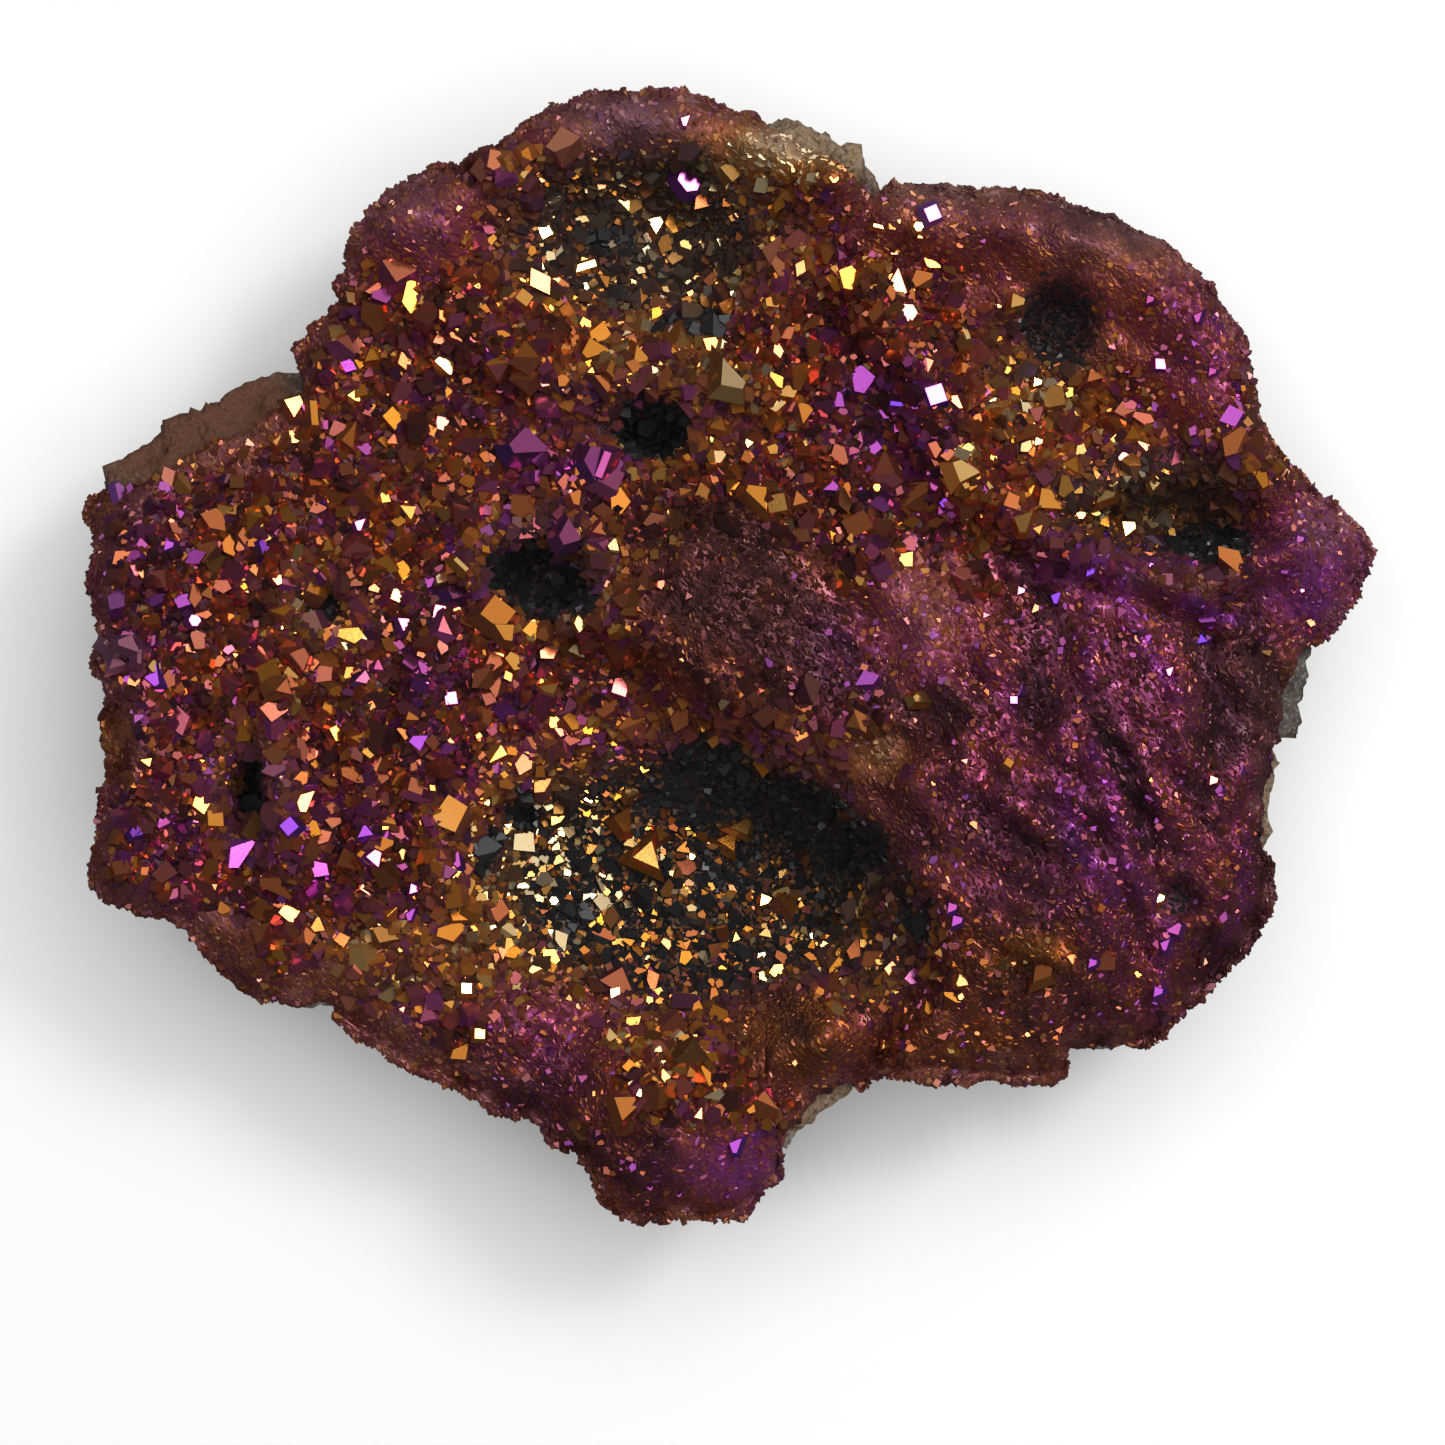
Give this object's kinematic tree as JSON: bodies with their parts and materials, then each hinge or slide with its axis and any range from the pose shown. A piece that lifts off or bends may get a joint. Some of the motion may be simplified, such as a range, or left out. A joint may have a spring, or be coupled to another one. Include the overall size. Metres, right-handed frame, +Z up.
{
  "type": "calcite geode",
  "caption": "Broken slab of geode rock with a flat underside, its hollowed top lined by one glittering crust of metal-filmed crystals; a display specimen that lies flat.",
  "frame": {"origin": "on the flat underside, under the middle of the slab's length and width", "axes": "+Z up out of the crystal side, +X along the slab's greatest length towards the pointed tip, +Y across it towards the small hollowed lobe"},
  "size_m": [0.15, 0.1302, 0.0382],
  "materials": {
    "rock": "matte",
    "filmed_crystal": "gloss"
  },
  "bodies": {
    "root": {"matrix": "rock", "crystal_crust": "filmed_crystal"}
  },
  "joints": []
}
